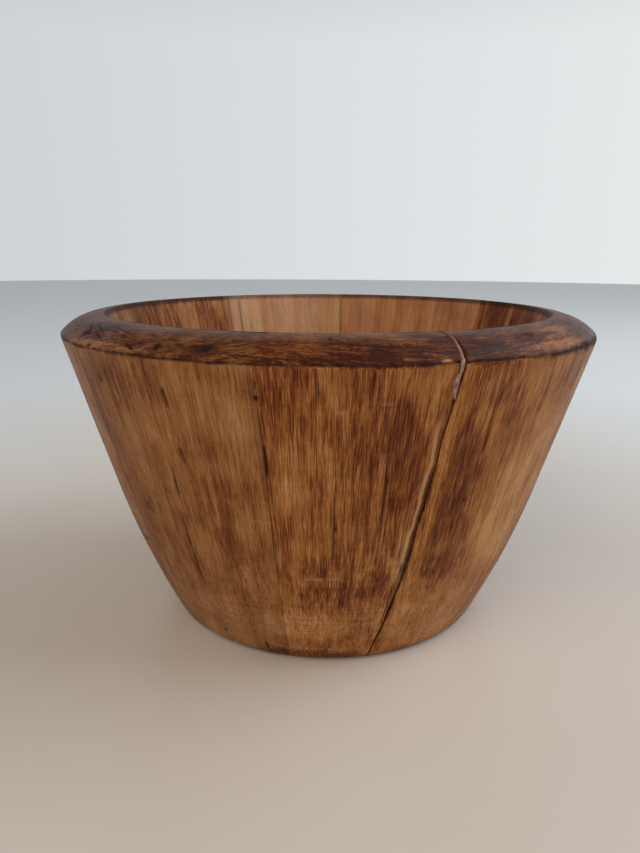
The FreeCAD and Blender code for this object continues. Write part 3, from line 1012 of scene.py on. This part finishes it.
def wood(name, offset, tint, base_shade, figure):
    """Oiled wood: fibres and pores along the grain, rings on the rim, stains, marks and a satin gloss."""
    n = Nodes(bpy.data.materials.new(name))
    board = n.attribute("board", "Vector")
    rim, dirt, mark = n.attribute("rim"), n.attribute("dirt"), n.attribute("mark")
    grain = {}
    for key, (sizes, *settings) in TEXTURES.items():
        grain[key] = n.noise(board, tuple(1 / size for size in sizes), *settings, offset=offset)
    fibre, medium, clouds, turned = grain["fibre"], grain["medium"], grain["clouds"], grain["turned"]

    # Where oil and dirt have soaked in.
    shade = n.math("ADD", n.attribute("shade"), base_shade)
    stain = n.sway(shade, fibre, STAIN_FIBRE * figure)
    stain = n.sway(stain, medium, STAIN_MEDIUM * figure)
    stain = n.sway(stain, clouds, STAIN_CLOUDS)
    stain = n.rise(stain, 0.0, STAIN_FULL, interpolation_type="SMOOTHSTEP")

    # The grain, from light to dark. Its fibres show more in the stains and less on the rim.
    value = n.sway(GRAIN_LEVEL, grain["broad"], GRAIN_BROAD)
    value = n.sway(value, medium, GRAIN_MEDIUM * figure)
    off_rim = n.math("SUBTRACT", 1.0, n.math("MULTIPLY", rim, 0.55))
    strength = n.plus(0.25 + 0.75 * figure, stain, 0.75 * figure)
    value = n.sway(value, fibre, n.math("MULTIPLY", strength, off_rim))
    value = n.sway(value, clouds, GRAIN_CLOUDS)
    along = n.add("SeparateXYZ", {"Vector": board}).outputs["Y"]
    value = n.sway(value, turned, n.plus(0.12, n.rise(along, *FOOT_LINES), 0.3))
    value = n.plus(value, n.math("MINIMUM", shade, 0.0), 0.5)
    value = n.plus(value, stain, GRAIN_STAIN)
    value = n.sway(value, grain["rings"], n.math("MULTIPLY", rim, RIM_RINGS))
    value = n.sway(value, grain["hatch"], n.math("MULTIPLY", rim, RIM_HATCH))
    value = n.plus(value, rim, RIM_DARKER)
    base = n.ramp(value, GRAIN_COLOURS)
    base = n.mix(1.0, base, tint, "MULTIPLY")
    base = n.mix(rim, base, n.mix(1.0, base, RIM_TINT, "MULTIPLY"))

    # Pores, long dark hairs, pale wood with painted sheen and highlight, the dirt in the gap, and the
    # marks, which also hold painted shade in and beside the groove.
    pore = n.rise(grain["pores"], 0.6, 0.74)
    base = n.mix(n.math("MULTIPLY", pore, 0.4 * figure), base, PORE_COLOUR)
    hair = n.math("MULTIPLY", n.rise(grain["hairs"], 0.62, 0.7), n.math("SUBTRACT", 1.0, rim))
    base = n.mix(n.math("MULTIPLY", hair, 0.6 * figure), base, HAIR_COLOUR)
    streaks = n.rise(fibre, 0.36, 0.62)
    pale_and_sheen = n.math("MULTIPLY", n.attribute("pale"), n.plus(0.3, streaks, 0.7))
    base = n.mix(pale_and_sheen, base, PALE_AND_SHEEN_COLOUR)
    grime = n.math("MULTIPLY", dirt, n.rise(n.sway(dirt, fibre, 1.6), 0.25, 0.85))
    base = n.mix(n.math("MULTIPLY", grime, 0.85), base, n.mix(streaks, *DIRT_COLOURS))
    base = n.mix(mark, base, MARK_COLOUR)

    relief = n.plus(n.math("MULTIPLY", medium, 0.6), fibre, 0.6)
    relief = n.plus(relief, turned, 0.4)
    relief = n.plus(relief, pore, -0.7)
    relief = n.plus(relief, hair, -0.8)
    relief = n.plus(relief, n.math("MULTIPLY", grain["hatch"], rim), 1.6)
    bump = n.add("Bump", {"Strength": 0.6, "Distance": 0.2 * MM, "Height": relief})
    shader = n.add("BsdfPrincipled", {
        "Base Color": base,
        "Roughness": n.plus(n.plus(0.32, clouds, 0.2), mark, 0.3),
        "Normal": bump.outputs[0],
        "Specular IOR Level": SPECULAR_LEVEL,
    })
    return n.finish(shader)


def filler_material():
    """Old filler, grey and tan with dirt in its hollows and on the crest."""
    n = Nodes(bpy.data.materials.new("old_filler"))
    where = n.add("TexCoord").outputs["Object"]
    lumps = n.noise(where, (900, 900, 900), 3, 0.6)
    dirt = n.noise(where, (260, 260, 260), 2, 0.5)
    base = n.ramp(lumps, [(0.3, colour(104, 76, 62)), (0.65, colour(166, 132, 112))])
    base = n.mix(n.rise(dirt, 0.5, 0.75), base, colour(96, 62, 44))
    high = n.rise(n.add("SeparateXYZ", {"Vector": where}).outputs["Z"], 0.139, 0.145)
    base = n.mix(n.math("MULTIPLY", high, 0.8), base, colour(92, 60, 45))
    bump = n.add("Bump", {"Strength": 0.5, "Distance": 0.3 * MM, "Height": lumps})
    shader = n.add("BsdfPrincipled", {
        "Base Color": base,
        "Roughness": n.plus(0.35, lumps, 0.3),
        "Normal": bump.outputs[0],
    })
    return n.finish(shader)


# --- building ---
# The tint of each piece of wood, how dark it is and how strong its figure is.
WOODS = {
    "stave_front": (colour(243, 246, 242), 0.05, 1.0),
    "stave_front_right": (colour(240, 238, 216), 0.03, 0.95),
    "stave_right": (colour(240, 238, 230), 0.18, 0.85),
    "stave_back_right": (colour(255, 248, 234), -0.02, 0.75),
    "stave_back": (colour(250, 246, 240), -0.08, 0.7),
    "stave_back_left": (colour(240, 236, 212), 0.06, 0.8),
    # The left stave's cool grey tint is partly painted reflection, the grey sheen along the bowl's left
    # side.
    "stave_left": (colour(214, 218, 226), 0.06, 0.65),
    "stave_front_left": (colour(222, 230, 238), 0.03, 0.62),
    "base_disc": (colour(250, 242, 224), -0.04, 0.8),
}
DISC_OFFSET = (91.0, 47.0, 23.0)


def build_bowl():
    for index, (name, left) in enumerate(STAVES):
        right = STAVES[(index + 1) % len(STAVES)][1]
        if left is not None and right is not None and right < left:
            right += 360
        piece = stave_mesh(name, left, right, 100 + 20 * index)
        offset = (13.7 * index + 3.1, 7.3 * index + 1.9, 5.9 * index)
        piece.data.materials.append(wood("wood_" + name, offset, *WOODS[name]))
        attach(piece, "root")
        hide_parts(name)

    disc = disc_mesh()
    disc.data.materials.append(wood("wood_base_disc", DISC_OFFSET, *WOODS["base_disc"]))
    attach(disc, "root")
    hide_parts("base_disc")

    bead = filler_mesh()
    bead.data.materials.append(filler_material())
    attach(bead, "root")
    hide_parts("crack_filler")


# --- stage, light and camera, in metres ---
FLOOR_RADIUS = 4.0
FLOOR_SIDES = 128
FLOOR_ROUGHNESS = 0.32
FLOOR_COLOURS = [(0.3, colour(207, 198, 187)), (0.7, colour(211, 203, 193))]
# Painted light: the far floor is lighter and cooler to make up for the lamps' light falling off with
# distance.
FAR_FLOOR = colour(224, 228, 230)
FAR_FROM, FAR_FULL = 0.22, 0.65
WORLD_STRENGTH = 0.9
WALL_COLOURS = [(0.0, colour(204, 210, 214)), (1.0, colour(250, 255, 255))]
FRONT_COLOUR = colour(206, 206, 204)
OVERHEAD_COLOUR = colour(140, 141, 143)

# Soft lights, aimed at the middle of the bowl: name, place, size, watts and colour.
LIGHTS = [
    ("window", (1.5, 0.1, 1.3), (1.6, 1.3), 24, colour(236, 244, 255)),
    ("room", (-0.7, -1.4, 1.3), (1.8, 1.4), 19, colour(255, 234, 210)),
]
LIGHT_AIM = Vector((0, 0, 0.08))

# The camera's place and its angles in radians: down from level, round to the right, and rolled.
CAMERA_PLACE = (0.0045, -0.3484, 0.1741)
CAMERA_DOWN = 0.24687
CAMERA_TURN = -0.0229
CAMERA_ROLL = 0.0056
CAMERA_LENS = 29.54


def build_stage():
    """A round pale floor, a little lighter and cooler further away: painted light that makes up for the
    lamps' light falling off.
    """
    bpy.ops.mesh.primitive_circle_add(vertices=FLOOR_SIDES, radius=FLOOR_RADIUS, fill_type="NGON")
    floor = bpy.context.object
    floor.name = "floor"
    n = Nodes(bpy.data.materials.new("pale_floor"))
    where = n.add("TexCoord").outputs["Object"]
    base = n.ramp(n.noise(where, (6, 6, 6), 3, 0.5), FLOOR_COLOURS)
    distance = n.add("VectorMath", {0: where}, operation="LENGTH").outputs["Value"]
    base = n.mix(n.rise(distance, FAR_FROM, FAR_FULL), base, FAR_FLOOR)
    shader = n.add("BsdfPrincipled", {"Base Color": base, "Roughness": FLOOR_ROUGHNESS})
    floor.data.materials.append(n.finish(shader))


def build_world():
    """A soft room: lighter on the right, plain on the camera's side and darker overhead."""
    world = bpy.data.worlds.new("soft_room")
    bpy.context.scene.world = world
    n = Nodes(world)
    axes = n.add("SeparateXYZ", {"Vector": n.add("TexCoord").outputs["Generated"]}).outputs
    sky = n.ramp(n.rise(axes["X"], -0.8, 0.8), WALL_COLOURS)
    sky = n.mix(n.rise(axes["Y"], 0.3, -0.7), sky, FRONT_COLOUR)
    sky = n.mix(n.rise(axes["Z"], 0.25, 0.7), sky, OVERHEAD_COLOUR)
    n.finish(n.add("Background", {"Color": sky, "Strength": WORLD_STRENGTH}), "OutputWorld")


def build_lights():
    for name, place, size, watts, shade in LIGHTS:
        light = bpy.data.lights.new(name, "AREA")
        light.shape = "RECTANGLE"
        light.size, light.size_y = size
        light.energy = watts
        light.color = shade[:3]
        lamp = bpy.data.objects.new(name, light)
        lamp.location = place
        lamp.rotation_mode = "QUATERNION"
        lamp.rotation_quaternion = (LIGHT_AIM - Vector(place)).to_track_quat("-Z", "Y")
        bpy.context.scene.collection.objects.link(lamp)


def build_camera():
    data = bpy.data.cameras.new("camera")
    data.lens = CAMERA_LENS
    data.clip_start = 0.01
    camera = bpy.data.objects.new("camera", data)
    forward = Vector((
        math.sin(CAMERA_TURN) * math.cos(CAMERA_DOWN),
        math.cos(CAMERA_TURN) * math.cos(CAMERA_DOWN),
        -math.sin(CAMERA_DOWN),
    ))
    right = Vector((math.cos(CAMERA_TURN), -math.sin(CAMERA_TURN), 0))
    up = right.cross(forward)
    rolled_right = right * math.cos(CAMERA_ROLL) + up * math.sin(CAMERA_ROLL)
    rolled_up = up * math.cos(CAMERA_ROLL) - right * math.sin(CAMERA_ROLL)
    turned = Matrix((rolled_right, rolled_up, -forward)).transposed()
    camera.matrix_world = Matrix.Translation(CAMERA_PLACE) @ turned.to_4x4()
    bpy.context.scene.collection.objects.link(camera)
    bpy.context.scene.camera = camera


bpy.context.scene.view_settings.view_transform = "Standard"
build_bowl()
build_stage()
build_world()
build_lights()
build_camera()
